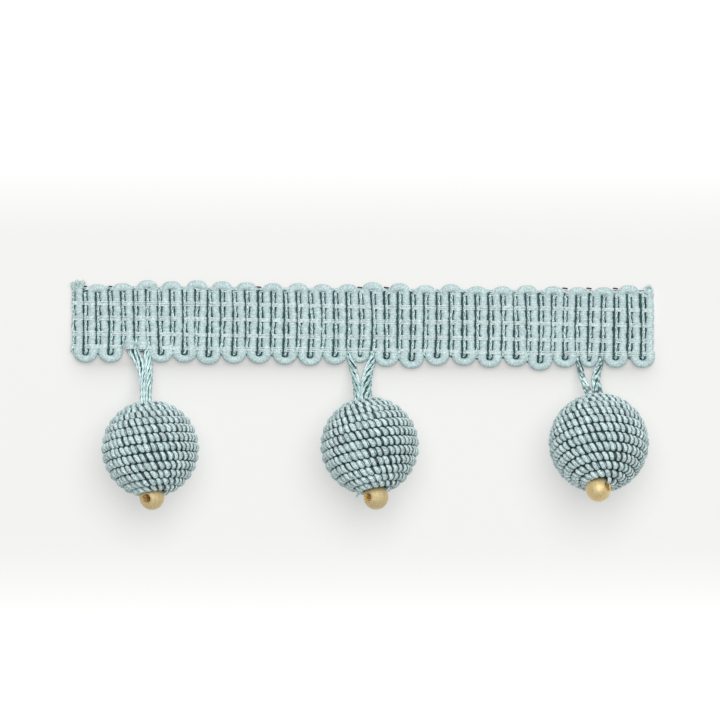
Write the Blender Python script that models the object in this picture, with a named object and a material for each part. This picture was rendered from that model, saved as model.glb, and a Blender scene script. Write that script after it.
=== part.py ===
"""Beaded ball fringe trim, lying face up on a flat surface.

The heading is one gimp cord laid back and forth in upright legs and bound by
rows of warp thread. Three cord-wound balls hang below it on twisted droppers,
each with a round brass bead sunk in its lower pole.

Sizes are written in millimetres and turned to metres by MM. X runs along the
trim, Y up its face and Z away from the surface it lies on.
"""

import math

import bmesh
import bpy
from mathutils import Matrix, Vector

MM = 0.001
GAP = 0.3
CUTTER_SIDES = 20

# Gimp cord of the heading
GIMP_RADIUS = 0.82
GIMP_SIDES = 6
LEG_HALF_PITCH = 1.26
LEG_BOW = -0.1
TURN_STEPS = 5
FIRST_END_Y = 22.4
LAST_END_Y = 22.0

# One row for each lower loop and the upper loop to its right, in millimetres.
# low_x and low_y are the lower loop's middle and outer edge, high_x and high_y
# the upper loop's. The last lower loop has none to its right.
LOOP_COLUMNS = ("low_x", "low_y", "high_x", "high_y")
LOOPS = (
    (-55.7, 6.4, -53.3, 22.1),
    (-50.7, 6.4, -48.3, 22.3),
    (-45.6, 8.7, -43.3, 22.9),
    (-40.6, 6.4, -38.5, 22.7),
    (-35.9, 6.4, -33.4, 22.9),
    (-31.1, 6.0, -28.4, 22.7),
    (-26.0, 6.2, -23.5, 22.5),
    (-21.0, 6.2, -18.2, 22.3),
    (-15.8, 6.0, -13.2, 22.3),
    (-10.8, 5.8, -8.3, 22.1),
    (-5.8, 6.0, -3.2, 22.1),
    (-0.8, 6.2, 1.7, 22.5),
    (4.5, 5.6, 7.1, 22.3),
    (9.5, 5.2, 12.3, 21.9),
    (14.6, 5.8, 17.4, 22.1),
    (20.0, 5.8, 22.6, 21.7),
    (25.1, 5.4, 27.7, 21.7),
    (30.4, 5.6, 32.6, 21.9),
    (35.2, 4.8, 37.9, 21.7),
    (40.2, 5.4, 42.8, 21.5),
    (45.0, 5.3, 47.9, 21.5),
    (50.3, 5.4, 52.9, 21.9),
    (55.7, 5.4, None, None),
)

# Warp rows that bind the legs
WARP_Y = (20.6, 17.65, 14.65, 11.5, 8.85)
WARP_DROP = -0.0133
WARP_WIDTH = 0.8
WARP_THICK = 0.35
WARP_CLEARANCE = 0.45
WARP_DIP = 0.45
WARP_OVERHANG = 1.0

# Wound balls
BALL_COLUMNS = ("x", "y", "radius", "tilt_deg", "lean_deg")
BALLS = (
    (-42.56, -10.76, 9.8, 8.0, 4.0),
    (1.14, -10.18, 9.9, 10.0, 7.4),
    (46.76, -9.56, 10.05, 26.0, 3.0),
)
ROW_PITCH = 2.04
ROW_HEIGHT = 0.42
STEPS_PER_ROW = 24
POINTS_ACROSS_ROW = 3
BALL_SINK = 0.25
SOCKET_RADIUS = 2.05
SOCKET_DEPTH = 3.6
SOCKET_TAPER = 0.8

# Brass beads: middle, and the direction that the hole points to
BEAD_COLUMNS = ("x", "y", "rise", "hole")
BEADS = (
    (-42.22, -20.42, 1.36, (-0.48, -0.1, 0.87)),
    (2.4, -20.36, 1.81, (-0.73, 0.0, 0.68)),
    (46.6, -18.78, 4.4, (0.80, 0.30, 0.52)),
)
BEAD_RADIUS = 2.5
BEAD_HOLE_RADIUS = 0.75
BEAD_SIDES = 16
BEAD_ARC_STEPS = 8

# Droppers: each leg's root at the heading and a point halfway to the ball, both
# (x, y, z), and the leg's radius. The legs meet in a hairpin in the ball's socket.
DROPPER_COLUMNS = (
    "left_root", "left_mid", "left_radius", "right_root", "right_mid", "right_radius", "spread")
DROPPERS = (
    ((-46.4, 8.5, 2.2), (-44.6, 4.0, 4.2), 0.5, (-43.5, 8.3, 2.2), (-43.2, 4.0, 4.2), 0.5, 0.66),
    ((-3.3, 7.5, 0.8), (-2.4, 3.4, 3.7), 0.55, (1.85, 7.4, 0.8), (1.1, 3.4, 3.7), 0.85, 0.9),
    ((42.6, 6.6, 0.8), (43.9, 3.2, 3.3), 0.6, (47.6, 6.6, 0.8), (47.0, 3.2, 3.3), 0.65, 0.8),
)
ROOT_TAPER = 0.4
DROPPER_SIDES = 4
DROPPER_STEPS = 34
DROPPER_TWIST_TURNS = 2.5
HAIRPIN_DEPTH = 1.7

GIMP_COLOUR = (0.50, 0.66, 0.66)
WARP_COLOUR = (0.62, 0.75, 0.73)
WINDING_COLOUR = (0.42, 0.58, 0.57)
SILK_COLOUR = (0.60, 0.78, 0.77)
BRASS_COLOUR = (0.80, 0.60, 0.30)


def clear_scene():
    for old in list(bpy.data.objects):
        bpy.data.objects.remove(old, do_unlink=True)


def rows(columns, table):
    return [dict(zip(columns, line)) for line in table]


def make_material(name, colour, roughness, metallic=0.0):
    material = bpy.data.materials.new(name)
    material.use_nodes = True
    shader = material.node_tree.nodes["Principled BSDF"]
    shader.inputs["Base Color"].default_value = (*colour, 1.0)
    shader.inputs["Roughness"].default_value = roughness
    shader.inputs["Metallic"].default_value = metallic
    return material


def add_piece(name, bm, material, parent, sharp_deg=60.0):
    """Turn a bmesh in millimetres into a named object in metres."""
    bm.normal_update()
    bmesh.ops.recalc_face_normals(bm, faces=bm.faces)
    bmesh.ops.scale(bm, vec=(MM, MM, MM), verts=bm.verts)
    mesh = bpy.data.meshes.new(name)
    bm.to_mesh(mesh)
    bm.free()
    mesh.materials.append(material)
    mesh.shade_smooth()
    mesh.set_sharp_from_angle(angle=math.radians(sharp_deg))
    piece = bpy.data.objects.new(name, mesh)
    bpy.context.collection.objects.link(piece)
    piece.parent = parent
    return piece


def bridge(bm, ring_a, ring_b):
    count = len(ring_a)
    for i in range(count):
        j = (i + 1) % count
        bm.faces.new((ring_a[i], ring_a[j], ring_b[j], ring_b[i]))


def swept_solid(rings):
    """One closed solid from rings of points, with both ends filled."""
    bm = bmesh.new()
    made = [[bm.verts.new(point) for point in ring] for ring in rings]
    for ring_a, ring_b in zip(made, made[1:]):
        bridge(bm, ring_a, ring_b)
    bm.faces.new(list(reversed(made[0])))
    bm.faces.new(made[-1])
    return bm


def round_section(radius, sides, turn=0.0):
    """Corners of a cord's section, as (across, up), with a flat side down."""
    start = -math.pi / 2 + math.pi / sides + turn
    angles = [start + 2 * math.pi * i / sides for i in range(sides)]
    return [(radius * math.cos(a), radius * math.sin(a)) for a in angles]


def half_turn(centre_x, centre_y, upper):
    """Points of a loop's half circle, from its left leg to its right one."""
    points = []
    for i in range(TURN_STEPS + 1):
        angle = math.pi * i / TURN_STEPS
        rise = LEG_HALF_PITCH * math.sin(angle)
        y = centre_y + rise if upper else centre_y - rise
        points.append(Vector((centre_x - LEG_HALF_PITCH * math.cos(angle), y, 0.0)))
    return points


def leg_middle(start, end):
    return (start + end) / 2 + Vector((LEG_BOW, 0.0, 0.0))


def gimp_route():
    loops = rows(LOOP_COLUMNS, LOOPS)
    reach = GIMP_RADIUS + LEG_HALF_PITCH
    route = [Vector((loops[0]["low_x"] - LEG_HALF_PITCH, FIRST_END_Y, 0.0))]
    for loop in loops:
        lower = half_turn(loop["low_x"], loop["low_y"] + reach, upper=False)
        route.append(leg_middle(route[-1], lower[0]))
        route.extend(lower)
        if loop["high_x"] is None:
            continue
        upper = half_turn(loop["high_x"], loop["high_y"] - reach, upper=True)
        route.append(leg_middle(route[-1], upper[0]))
        route.extend(upper)
    top = Vector((route[-1].x, LAST_END_Y, 0.0))
    route.append(leg_middle(route[-1], top))
    route.append(top)
    return route


def gimp_height():
    return 2 * GIMP_RADIUS * math.cos(math.pi / GIMP_SIDES)


def make_gimp(material, parent):
    """The serpentine cord, its flat underside on the surface."""
    route = gimp_route()
    up = Vector((0.0, 0.0, 1.0))
    lift = up * gimp_height() / 2
    section = round_section(GIMP_RADIUS, GIMP_SIDES)
    rings = []
    for i, point in enumerate(route):
        before = route[max(i - 1, 0)]
        after = route[min(i + 1, len(route) - 1)]
        across = (after - before).normalized().cross(up)
        rings.append([point + lift + across * a + up * h for a, h in section])
    return add_piece("gimp_cord", swept_solid(rings), material, parent)


def leg_places():
    """Each leg's x at half height, from left to right."""
    places = []
    for loop in rows(LOOP_COLUMNS, LOOPS):
        places.append(loop["low_x"] - LEG_HALF_PITCH + LEG_BOW)
        places.append(loop["low_x"] + LEG_HALF_PITCH + LEG_BOW)
    return places


def make_warp(name, warp_y, material, parent):
    """A binding row that crests over every leg and dips between them."""
    legs = leg_places()
    crest = gimp_height() + WARP_CLEARANCE
    valley = crest - WARP_DIP
    path = [(legs[0] - WARP_OVERHANG, valley)]
    for here, following in zip(legs, legs[1:]):
        path.append((here, crest))
        path.append(((here + following) / 2, valley))
    path.append((legs[-1], crest))
    path.append((legs[-1] + WARP_OVERHANG, valley))
    rings = []
    for x, z in path:
        y = warp_y + WARP_DROP * x
        rings.append([
            Vector((x, y - WARP_WIDTH / 2, z)),
            Vector((x, y + WARP_WIDTH / 2, z)),
            Vector((x, y, z + WARP_THICK)),
        ])
    return add_piece(name, swept_solid(rings), material, parent, sharp_deg=80.0)


def ball_frame(ball):
    """The ball's middle and the turn that takes its own +Z to its upper pole."""
    middle = Vector((ball["x"], ball["y"], ball["radius"] - BALL_SINK))
    lay_down = Matrix.Rotation(math.radians(-90.0 - ball["tilt_deg"]), 3, "X")
    lean = Matrix.Rotation(math.radians(ball["lean_deg"]), 3, "Z")
    return middle, lean @ lay_down


def wound_point(ball, step, across):
    """A point of the winding in the ball's own frame, upper pole on +Z."""
    turns = round(math.pi * ball["radius"] / ROW_PITCH)
    row_angle = math.pi / turns
    polar = min((step / STEPS_PER_ROW + across) * row_angle, math.pi)
    around = 2 * math.pi * step / STEPS_PER_ROW
    swell = math.sin(math.pi * across)
    radius = ball["radius"] - ROW_HEIGHT * (1.0 - swell)
    ring = radius * math.sin(polar)
    return Vector((ring * math.sin(around), ring * math.cos(around), radius * math.cos(polar)))


def wound_solid(ball):
    """One closed body whose surface follows the cord's spiral of rows."""
    turns = round(math.pi * ball["radius"] / ROW_PITCH)
    last = (turns - 1) * STEPS_PER_ROW
    bm = bmesh.new()
    made = {}
    for step in range(turns * STEPS_PER_ROW + 1):
        made[step, 0] = bm.verts.new(wound_point(ball, step, 0.0))
    for step in range(last + 1):
        for k in range(1, POINTS_ACROSS_ROW):
            made[step, k] = bm.verts.new(wound_point(ball, step, k / POINTS_ACROSS_ROW))
        made[step, POINTS_ACROSS_ROW] = made[step + STEPS_PER_ROW, 0]
    for step in range(last):
        for k in range(POINTS_ACROSS_ROW):
            bm.faces.new((made[step, k], made[step + 1, k], made[step + 1, k + 1], made[step, k + 1]))
    close_pole(bm, [made[step, 0] for step in range(STEPS_PER_ROW + 1)],
               [made[0, k] for k in range(POINTS_ACROSS_ROW - 1, 0, -1)])
    ends = [made[step, 0] for step in range(turns * STEPS_PER_ROW, last - 1, -1)]
    close_pole(bm, ends, [made[last, k] for k in range(1, POINTS_ACROSS_ROW)])
    return bm


def close_pole(bm, spiral, seam):
    """Fan from the pole, the spiral's first point, out to its first turn."""
    pole = spiral[0]
    for here, following in zip(spiral[1:-2], spiral[2:-1]):
        bm.faces.new((pole, here, following))
    bm.faces.new([pole, spiral[-2], spiral[-1]] + seam)


def place_on_surface(bm, middle, turn):
    """Turn the ball as it lies and press its underside flat on the surface."""
    for vert in bm.verts:
        vert.co = middle + turn @ vert.co
        vert.co.z = max(vert.co.z, 0.0)


def cut_with(piece, cutter):
    cutter.hide_render = True
    cutter.display_type = "WIRE"
    cut = piece.modifiers.new(cutter.name, "BOOLEAN")
    cut.operation = "DIFFERENCE"
    cut.solver = "EXACT"
    cut.object = cutter


def make_ball(index, ball, bead, material, parent):
    middle, turn = ball_frame(ball)
    bm = wound_solid(ball)
    place_on_surface(bm, middle, turn)
    piece = add_piece(f"ball_{index}", bm, material, parent)

    socket = bmesh.new()
    bmesh.ops.create_cone(
        socket, cap_ends=True, segments=CUTTER_SIDES, radius1=SOCKET_RADIUS * SOCKET_TAPER,
        radius2=SOCKET_RADIUS, depth=2 * SOCKET_DEPTH)
    for vert in socket.verts:
        vert.co = middle + turn @ (vert.co + Vector((0.0, 0.0, ball["radius"])))
    cut_with(piece, add_piece(f"socket_cutter_{index}", socket, material, parent))

    dimple = bmesh.new()
    bmesh.ops.create_uvsphere(
        dimple, u_segments=CUTTER_SIDES, v_segments=CUTTER_SIDES // 2, radius=BEAD_RADIUS + GAP)
    bmesh.ops.transform(dimple, matrix=turn.to_4x4(), verts=dimple.verts)
    bmesh.ops.translate(dimple, vec=bead_middle(ball, bead), verts=dimple.verts)
    cut_with(piece, add_piece(f"dimple_cutter_{index}", dimple, material, parent))
    return piece


def bead_middle(ball, bead):
    return Vector((bead["x"], bead["y"], ball["radius"] - BALL_SINK + bead["rise"]))


def make_bead(index, ball, bead, material, parent):
    """A round bead with its hole right through, turned about the hole."""
    rim = math.asin(BEAD_HOLE_RADIUS / BEAD_RADIUS)
    profile = []
    for i in range(BEAD_ARC_STEPS + 1):
        angle = rim + (math.pi - 2 * rim) * i / BEAD_ARC_STEPS
        profile.append((BEAD_RADIUS * math.sin(angle), BEAD_RADIUS * math.cos(angle)))
    toward = Vector(bead["hole"]).normalized().to_track_quat("Z", "Y").to_matrix()
    middle = bead_middle(ball, bead)
    bm = bmesh.new()
    spokes = []
    for i in range(BEAD_SIDES):
        angle = 2 * math.pi * i / BEAD_SIDES
        ring = [Vector((r * math.cos(angle), r * math.sin(angle), z)) for r, z in profile]
        spokes.append([bm.verts.new(middle + toward @ point) for point in ring])
    for i, spoke in enumerate(spokes):
        bridge(bm, spoke, spokes[(i + 1) % BEAD_SIDES])
    return add_piece(f"bead_{index}", bm, material, parent, sharp_deg=40.0)


def dropper_points(ball, dropper):
    """The route's own points, with the leg's radius at each."""
    middle, turn = ball_frame(ball)
    thin, thick = dropper["left_radius"], dropper["right_radius"]
    spread = dropper["spread"]

    def inside(across, depth):
        return middle + turn @ Vector((across, 0.0, ball["radius"] - depth))

    return [
        (Vector(dropper["left_root"]), thin * ROOT_TAPER),
        (Vector(dropper["left_mid"]), thin),
        (inside(-spread, 0.0), thin),
        (inside(-spread, HAIRPIN_DEPTH), thin),
        (inside(0.0, HAIRPIN_DEPTH + spread), (thin + thick) / 2),
        (inside(spread, HAIRPIN_DEPTH), thick),
        (inside(spread, 0.0), thick),
        (Vector(dropper["right_mid"]), thick),
        (Vector(dropper["right_root"]), thick * ROOT_TAPER),
    ]


def smooth_between(values, position):
    """A smooth curve through a row of values, read at a fractional place."""
    last = len(values) - 1
    i = min(int(position), last - 1)
    t = position - i
    before, here = values[max(i - 1, 0)], values[i]
    ahead, beyond = values[i + 1], values[min(i + 2, last)]
    slope_here = (ahead - before) / 2
    slope_ahead = (beyond - here) / 2
    return (here * (2 * t**3 - 3 * t**2 + 1) + slope_here * (t**3 - 2 * t**2 + t)
            + ahead * (3 * t**2 - 2 * t**3) + slope_ahead * (t**3 - t**2))


def make_dropper(index, ball, dropper, material, parent):
    """A twisted strand from the heading into the ball and back."""
    known = dropper_points(ball, dropper)
    places = [point for point, radius in known]
    radii = [radius for point, radius in known]
    span = len(known) - 1
    route = [smooth_between(places, span * i / DROPPER_STEPS) for i in range(DROPPER_STEPS + 1)]
    girth = [smooth_between(radii, span * i / DROPPER_STEPS) for i in range(DROPPER_STEPS + 1)]
    side = Vector((0.0, 0.0, 1.0))
    rings = []
    for i, point in enumerate(route):
        ahead = (route[min(i + 1, DROPPER_STEPS)] - route[max(i - 1, 0)]).normalized()
        side = (side - ahead * side.dot(ahead)).normalized()
        across = ahead.cross(side)
        twist = 2 * math.pi * DROPPER_TWIST_TURNS * i / DROPPER_STEPS
        section = round_section(girth[i], DROPPER_SIDES, twist)
        rings.append([point + across * a + side * h for a, h in section])
    return add_piece(f"dropper_cord_{index}", swept_solid(rings), material, parent)


def stand_on_origin(parent, pieces):
    """Move the whole trim so that the middle of its footprint is the origin."""
    corners = [vert.co for piece in pieces for vert in piece.data.vertices]
    low = Vector([min(corner[axis] for corner in corners) for axis in range(3)])
    high = Vector([max(corner[axis] for corner in corners) for axis in range(3)])
    parent.location = (-(low.x + high.x) / 2, -(low.y + high.y) / 2, -low.z)


def main():
    clear_scene()
    trim = bpy.data.objects.new("trim_origin", None)
    bpy.context.collection.objects.link(trim)

    gimp = make_material("gimp", GIMP_COLOUR, 0.85)
    warp = make_material("warp_thread", WARP_COLOUR, 0.7)
    pieces = [make_gimp(gimp, trim)]
    for i, warp_y in enumerate(WARP_Y, start=1):
        pieces.append(make_warp(f"warp_{i}", warp_y, warp, trim))

    sets = zip(rows(BALL_COLUMNS, BALLS), rows(BEAD_COLUMNS, BEADS), rows(DROPPER_COLUMNS, DROPPERS))
    for i, (ball, bead, dropper) in enumerate(sets, start=1):
        winding = make_material(f"winding_{i}", WINDING_COLOUR, 0.8)
        brass = make_material(f"brass_{i}", BRASS_COLOUR, 0.4, metallic=1.0)
        silk = make_material(f"silk_{i}", SILK_COLOUR, 0.45)
        pieces.append(make_ball(i, ball, bead, winding, trim))
        pieces.append(make_bead(i, ball, bead, brass, trim))
        pieces.append(make_dropper(i, ball, dropper, silk, trim))
    stand_on_origin(trim, pieces)


main()
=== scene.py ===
"""Dressed model of a beaded ball fringe trim, lying face up on a pale table.

The heading is a matte gimp cord laid back and forth beside a thin shiny yarn,
and bound by rows of fine thread. Three balls wound with gimp hang below it on
twisted yarn, each tipped with a brass bead.

Lengths in the tables are millimetres in the frame's axes: X along the trim, Y
up its face and Z off the table.
"""

import math

import bmesh
import bpy
from bpy.props import FloatProperty, FloatVectorProperty, IntProperty, PointerProperty
from mathutils import Matrix, Vector


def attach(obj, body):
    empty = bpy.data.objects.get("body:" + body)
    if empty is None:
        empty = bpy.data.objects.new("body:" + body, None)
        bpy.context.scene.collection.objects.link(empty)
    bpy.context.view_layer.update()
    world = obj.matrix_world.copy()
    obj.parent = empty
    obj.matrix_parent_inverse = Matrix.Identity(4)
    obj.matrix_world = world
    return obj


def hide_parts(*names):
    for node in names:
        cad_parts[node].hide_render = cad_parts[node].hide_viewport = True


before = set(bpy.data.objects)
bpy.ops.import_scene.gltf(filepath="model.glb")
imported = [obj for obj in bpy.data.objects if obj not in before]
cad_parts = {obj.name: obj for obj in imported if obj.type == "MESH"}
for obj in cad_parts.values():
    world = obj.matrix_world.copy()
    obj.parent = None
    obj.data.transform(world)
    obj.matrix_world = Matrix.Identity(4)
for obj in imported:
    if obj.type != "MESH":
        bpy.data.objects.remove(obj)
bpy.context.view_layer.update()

bl_info = {
    "name": "Beaded Ball Fringe",
    "version": (1, 0, 0),
    "blender": (4, 5, 0),
    "location": "View3D > Sidebar > Trim",
    "description": "Makes a gimp heading with cord-wound balls on twisted droppers",
    "category": "Add Mesh",
}

MM = 0.001
BODY = "root"
BALL_COUNT = 3

# One row for each lower loop and the upper loop to its right: the lower loop's
# middle and outer edge, where its two legs pass half height, and the upper
# loop's middle and outer edge. The last lower loop has no upper one after it.
LOOPS = (
    (-55.60, 6.44, -56.86, -54.34, -53.20, 22.14),
    (-50.60, 6.44, -51.78, -49.18, -48.20, 22.34),
    (-45.50, 8.73, -46.82, -44.24, -43.20, 22.93),
    (-40.50, 6.44, -42.04, -39.46, -38.40, 22.73),
    (-35.80, 6.44, -36.98, -34.52, -33.30, 22.93),
    (-31.00, 6.04, -32.18, -29.50, -28.30, 22.73),
    (-25.90, 6.24, -26.98, -24.44, -23.40, 22.54),
    (-20.90, 6.24, -21.96, -19.38, -18.10, 22.34),
    (-15.70, 6.04, -16.84, -14.16, -13.10, 22.34),
    (-10.70, 5.83, -11.66, -9.14, -8.20, 22.14),
    (-5.70, 6.04, -6.78, -4.26, -3.10, 22.14),
    (-0.70, 6.24, -1.64, 0.86, 1.80, 22.54),
    (4.60, 5.63, 3.36, 5.82, 7.20, 22.34),
    (9.60, 5.24, 8.56, 11.16, 12.40, 21.93),
    (14.70, 5.83, 13.66, 16.24, 17.50, 22.14),
    (20.10, 5.83, 18.78, 21.46, 22.70, 21.73),
    (25.20, 5.44, 24.04, 26.76, 27.80, 21.73),
    (30.50, 5.63, 29.18, 31.70, 32.70, 21.93),
    (35.30, 4.83, 34.24, 36.72, 38.00, 21.73),
    (40.30, 5.44, 39.06, 41.44, 42.90, 21.54),
    (45.10, 5.33, 43.96, 46.60, 48.00, 21.54),
    (50.40, 5.44, 49.06, 51.86, 53.00, 21.93),
    (55.80, 5.44, 54.56, 57.24, None, None),
)

# Half the distance between the two legs of a loop, and the height over which
# legs spread and swell towards the lower loop
LOOP_RADIUS = 1.28
FLARE_HEIGHT = 2.0

# How far legs end from the outer edge of the lower and of the upper loop
LOW_REACH, HIGH_REACH = 2.05, 1.84

# Curve of the lower and the upper loops: how far up the middle line goes from
# the legs' ends, how square it is, and how much thinner the cord is in the middle
LOW_CURVE = (-1.31, 0.92, 0.24)
HIGH_CURVE = (1.01, 0.72, -0.06)

# The loop whose two legs seem cut off, with a thin neck between them: its place in
# the table, how far its legs end from its outer edge, and the neck's curve
SQUARE_LOOP = 2
SQUARE_REACH = 1.1
NECK_CURVE = (-0.2, 0.72, 1.0)

# How far the legs spread and swell where they meet the lower loop, and the loops
# beside which a dropper comes out, which differ
LOOP_FOOT = (0.25, 0.2)
OTHER_FEET = {2: (0.0, 0.55), 11: (-0.14, 0.03), 20: (-0.14, 0.03)}

# Tops of the first and the last leg, and the lowest edge and cut size of the heading
TOP_ENDS = (22.4, 22.0)
HEADING_FOOT = 5.6

# The cut ends of the gimp: how far below a leg's top they are, over what length
# they are rounded, and the least share of the girth that is left
CUT_DROP, CUT_ROUNDING, CUT_LEAST = 0.5, 0.9, 0.3

# Waves in the legs' middle lines and in their girth: size, and how fast they
# change up a leg and from leg to leg
LEG_WAVES = ((0.09, 2.3, 3.7), (0.05, 5.3, 1.9))
GIRTH_WAVE = (0.03, 3.1, 2.0)

# Points along a leg and along a loop
LEG_STEPS, LOOP_STEPS = 60, 20

# Binding rows: height at the trim's middle, slope, distance between threads and
# its unevenness, their least height off the table, and how much and how widely a
# row pinches the cord
ROW_Y = (20.64, 17.69, 14.69, 11.54, 8.89)
ROW_DROP = -0.0133
THREAD_PITCH, THREAD_WAVER, THREAD_FLOOR = 0.29, 0.09, 0.16
PINCH, PINCH_WIDTH = 0.09, 0.5

# How far the threads lie below the gimp's crest, and how much deeper the first
# row lies
ROW_SINK, FIRST_ROW_SINK = 0.2, 0.25

# How a thread passes over a leg, over the first leg and under a leg: places
# across it, with the drop from the crest, or with the height when under
OVER_LEG = ((-1.7, 1.25), (-1.5, 0.8), (-1.18, 0.22), (-0.4, 0.0), (0.3, 0.0), (0.68, 0.25), (0.84, 0.8))
FIRST_LEG = ((-1.42, 0.5), (-1.4, 0.3), (-1.1, 0.12), (-0.4, 0.0), (0.3, 0.0), (0.68, 0.3), (0.84, 0.9))
UNDER_LEG = ((-1.3, 0.3), (-0.35, 0.2), (0.5, 0.3))

# Companion yarn: how far left of a leg it runs, its height, the gap between legs
# past which it moves out, and its way under the cord at a loop: across from the
# loop's middle, towards the loop's edge, and height. Last, how far from the legs'
# ends it turns off below and above, and where it starts and stops.
YARN_OFFSET, YARN_HEIGHT = 1.17, 1.05
USUAL_GAP = 2.54
YARN_LOOP = (
    (-2.5, -0.5, 0.75), (-1.4, -0.1, 0.34), (-0.5, -0.05, 0.36), (-0.05, -0.3, 0.7), (0.2, -0.8, 1.05))
YARN_LOW, YARN_HIGH = 0.45, 0.4
YARN_START_RISE, YARN_STOP = 0.2, 20.6

# Dark filler under the yarn and in the loops' eyes, strands that stand in for the
# shade there (painted shade): how far left of a leg its strands run, how far left
# and up they go, their height off the table, and how far the two strands in an
# eye are from its middle
FILLER_OFFSETS = (1.0, 1.6)
FILLER_LEFT, FILLER_TOP = -55.8, 20.9
FILLER_HEIGHT = 0.44
EYE_STRANDS = (-0.36, 0.36)

# Upper notches, counted from the left, in which the dark catch thread shows, its
# height up the face, slope, shape in a notch, and colour
CATCH_NOTCHES = (0, 1, 7, 11, 12, 19, 20, 21)
CATCH_Y, CATCH_DROP = 21.46, -0.004
CATCH_DASH = ((-0.42, 0.05, 0.3), (-0.17, 0.02, 1.3), (0.17, -0.02, 1.3), (0.42, -0.05, 0.3))
CATCH_BROWN = (0.05, 0.035, 0.035)

# The straight cord under the upper loops: its height up the face, slope, and
# height off the table
EDGE_Y, EDGE_DROP, EDGE_HEIGHT = 21.0, -0.0098, 0.95

# Feet of the frayed fibres at the left end and by the middle bead, and the
# middle and radius of the curled right end
TUFT_AT = (-57.3, 21.25, 1.25)
FUZZ_AT = (-0.9, -18.9, 10.0)
CURL_AT, CURL_RADIUS = (56.95, 21.0, 1.2), 0.74

# Balls: middle x and y, radius, tilt and lean of the upper pole in degrees
BALLS = (
    (-42.46, -10.725, 9.8, 8.0, 4.0),
    (1.24, -10.145, 9.9, 10.0, 7.4),
    (46.86, -9.525, 10.05, 26.0, 3.0),
)
BALL_SINK = 0.25

# Winding: distance between rows, steps in a turn, turns left bare at the upper
# pole, and for each ball the turns left bare at the lower pole and the distance
# that wraps keep from the bead's middle
ROW_PITCH = 2.04
TURN_STEPS = 60
POLE_GAP = 0.7
LOWER_POLES = ((0.7, 2.6), (0.7, 2.6), (0.42, 2.76))

# Depths in the ball of the middle lines of the matte wraps, of the thin wraps and
# of the core, and of the mould's surface
MATTE_DEPTH, THIN_DEPTH, CORE_DEPTH, MOULD_DEPTH = 0.38, 0.52, 1.05, 1.3

# Beads: middle x and y, rise over the ball's middle, and the way the hole points
BEADS = (
    (-42.12, -20.385, 1.36, (-0.48, -0.1, 0.87)),
    (2.5, -20.325, 1.81, (-0.73, 0.0, 0.68)),
    (46.7, -18.745, 4.4, (0.80, 0.30, 0.52)),
)

# Tone of each bead, which is painted light: lit and shaded copies of one brass,
# bead 3 painted paler where its ball keeps light off it; and roughness of each bead
BEAD_PAINTED_LIGHT_AND_ROUGHNESS = (((0.93, 0.93, 0.9), 0.58), ((0.9, 0.9, 0.88), 0.58), ((1.05, 1.03, 0.92), 0.4))

# Droppers: left root and middle, right root and middle, and where they enter
# the ball: half the gap between them, and how far left of the pole
DROPPERS = (
    ((-46.15, 9.1, 0.75), (-44.3, 5.3, 3.4), (-43.3, 8.8, 0.75), (-42.8, 4.6, 3.6), 0.48, 0.26),
    ((-2.65, 7.4, 0.7), (-1.62, 3.435, 3.7), (1.72, 7.2, 0.6), (0.68, 3.435, 3.7), 0.84, 0.3),
    ((42.85, 6.935, 0.7), (43.75, 3.235, 3.3), (47.4, 6.8, 0.6), (46.4, 3.235, 3.3), 0.8, 0.25),
)

# Droppers: how far above their roots they start, their height there, how
# deep their hairpin is in the ball, and the length that shows
ROOT_LENGTH, ROOT_HEIGHT = 1.6, 0.45
HAIRPIN_DEPTH = 1.7
VISIBLE_LENGTH = 7.5

# How far a dropper's strands may stand above its leg's middle, the least height
# of a strand for its girth, and the share of their reach that its core has. The
# core is dark strands that stand in for shade between the strands (painted shade).
FLAT_REACH, LEAST_HEIGHT, CORE_REACH = 0.4, 0.32, 0.6

# Make of the left and right leg of each dropper: turns of its strands round each
# other, their number, then their girth and their distance from the leg's middle,
# each at the heading and at the ball
DROPPER_LEGS = (
    ((-0.35, 6, (1.05, 0.8), (0.92, 0.46)), (-0.85, 5, (1.0, 0.82), (0.56, 0.48))),
    ((0.8, 4, (1.0, 1.1), (0.48, 0.5)), (-0.75, 5, (1.0, 1.2), (0.6, 0.92))),
    ((0.65, 4, (0.85, 1.1), (0.3, 0.48)), (-0.75, 5, (0.9, 1.2), (0.44, 0.82))),
)

# Painted glints on the strands of each dropper, dashes paler and darker along
# each strand: the spread of their brightness, and the least
DROPPER_PAINTED_GLINTS = ((0.45, 0.82), (0.55, 0.67), (1.1, 0.14))

# Dark strands, painted shade, between and on the droppers by the lower loops,
# where the loops shade them
SHADE_STRANDS = (
    ((-45.38, 8.8, 0.9), (-44.1, 8.6, 0.9), (-42.9, 9.0, 0.9), (-42.3, 8.2, 0.9)),
    ((-2.45, 6.6, 1.9), (-1.9, 5.95, 2.7), (-1.4, 5.3, 3.1)),
    ((43.15, 6.9, 1.4), (43.55, 5.8, 2.1), (43.95, 4.9, 2.7)),
    ((47.4, 5.7, 2.1), (46.9, 4.9, 3.0), (46.45, 4.1, 3.6)),
)

# Camera, with the width that it sees on the table, and the table and the light.
# The light's place and size are in metres.
CAMERA_AT = (-0.7, 6.975, 2400.0)
VIEW_WIDTH = 144.0
SENSOR = 36.0
TABLE_SIZE = 4000.0
SKY_STRENGTH = 0.26
SOFTBOX_AT, SOFTBOX_SIZE, SOFTBOX_POWER = (0.3, 0.9, 2.9), 3.0, 92.5


def length_setting(label, about, value, least):
    return FloatProperty(
        name=label, description=about, default=value * MM, min=least * MM, unit="LENGTH")


def colour_setting(label, about, value):
    return FloatVectorProperty(
        name=label, description=about, default=value, subtype="COLOR", min=0.0, max=1.0, size=3)


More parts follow.
